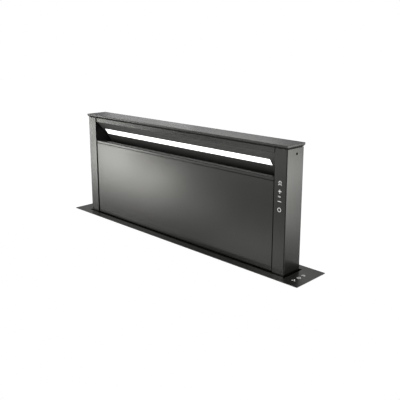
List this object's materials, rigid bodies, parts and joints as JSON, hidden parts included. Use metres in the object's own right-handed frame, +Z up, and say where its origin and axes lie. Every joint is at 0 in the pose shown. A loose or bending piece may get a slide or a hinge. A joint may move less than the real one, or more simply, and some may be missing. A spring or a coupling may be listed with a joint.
{
  "type": "downdraft vent",
  "caption": "Pop-up downdraft vent: a slim lit column rises through a worktop flange on a rack lift and draws hob fumes to a blower in the under-counter housing.",
  "frame": {"origin": "centre of the worktop cut-out, on the worktop's top surface", "axes": "+X to the right seen from the front, +Y to the back, +Z up along the column's travel; drawn with the column raised"},
  "size_m": [0.9, 0.3098, 1.021],
  "materials": {
    "coated_steel": "satin dark grey, fine brushed grain",
    "diffuser": "opal, lit from behind",
    "lamp_aluminium": "mill finish",
    "lamp_board": "white solder mask",
    "filter_metal": "expanded mesh in a folded rim",
    "circuit_board": "green solder mask",
    "zinc_sheet": "zinc-coated sheet",
    "sliding_polymer": "natural acetal",
    "drive_metal": "painted castings",
    "steel": "ground and milled",
    "rubber": "black elastomer",
    "black_polymer": "glass-filled, moulded",
    "flap_polymer": "light grey, moulded"
  },
  "bodies": {
    "chassis": {"worktop_flange": "coated_steel", "flange_gasket": "rubber", "wiper_seal": "rubber", "flange_touch_board": "circuit_board", "housing_front": "zinc_sheet", "housing_rear": "zinc_sheet", "housing_left": "zinc_sheet", "housing_right": "zinc_sheet", "housing_floor": "zinc_sheet", "rack_left": "steel", "rack_right": "steel", "guide_rail_left": "steel", "guide_rail_right": "steel", "fixing_bracket_left": "zinc_sheet", "fixing_bracket_right": "zinc_sheet", "blower_box": "zinc_sheet", "blower_cover": "zinc_sheet", "scroll_body": "black_polymer", "scroll_lid": "black_polymer", "inlet_ring": "black_polymer", "fan_motor": "drive_metal", "duct_collar": "zinc_sheet", "flap_pin": "steel", "control_box": "black_polymer", "control_box_lid": "black_polymer", "control_board": "circuit_board", "cable_gland": "black_polymer"},
    "column": {"top_cap": "coated_steel", "top_rail": "coated_steel", "upright_left": "coated_steel", "upright_right": "coated_steel", "rear_skin": "coated_steel", "fascia_left": "coated_steel", "fascia_right": "coated_steel", "front_apron": "coated_steel", "sill_rail": "coated_steel", "inlet_scoop": "coated_steel", "light_diffuser": "diffuser", "led_channel": "lamp_aluminium", "led_board": "lamp_board", "filter_left": "filter_metal", "filter_middle": "filter_metal", "filter_right": "filter_metal", "touch_board": "circuit_board", "base_frame": "zinc_sheet", "carriage_plate_left": "zinc_sheet", "carriage_plate_right": "zinc_sheet", "glide_shoe_left": "sliding_polymer", "glide_shoe_right": "sliding_polymer", "lift_gearbox": "drive_metal", "lift_motor": "drive_metal"},
    "lift_shaft": {"cross_shaft": "steel", "pinion_left": "steel", "pinion_right": "steel"},
    "front_door": {"front_panel": "coated_steel", "panel_liner": "zinc_sheet"},
    "fan_wheel": {"impeller": "black_polymer"},
    "damper_front": {"damper_flap_front": "flap_polymer"},
    "damper_rear": {"damper_flap_rear": "flap_polymer"}
  },
  "joints": [
    {"name": "column_lift", "type": "slide", "parent": "chassis", "child": "column", "axis": [0, 0, 1], "range_m": [-0.3187, 0]},
    {"name": "shaft_spin", "type": "hinge", "parent": "column", "child": "lift_shaft", "pos_m": [0, 0, -0.062], "axis": [1, 0, 0], "continuous": true},
    {"name": "front_panel_tilt", "type": "hinge", "parent": "column", "child": "front_door", "pos_m": [0, -0.0255, 0.008], "axis": [1, 0, 0], "range_deg": [0, 70]},
    {"name": "fan_spin", "type": "hinge", "parent": "chassis", "child": "fan_wheel", "pos_m": [-0.02, -0.142, -0.566], "axis": [0, 1, 0], "continuous": true},
    {"name": "damper_front_swing", "type": "hinge", "parent": "chassis", "child": "damper_front", "pos_m": [0.2, -0.142, -0.491], "axis": [0, 0, 1], "range_deg": [0, 80], "stiffness_Nm_per_rad": 0.02},
    {"name": "damper_rear_swing", "type": "hinge", "parent": "chassis", "child": "damper_rear", "pos_m": [0.2, -0.142, -0.491], "axis": [0, 0, -1], "range_deg": [0, 80], "stiffness_Nm_per_rad": 0.02}
  ],
  "couplings": [
    {"joint": "shaft_spin", "follows": "column_lift", "rad_per_m": 71.429}
  ]
}
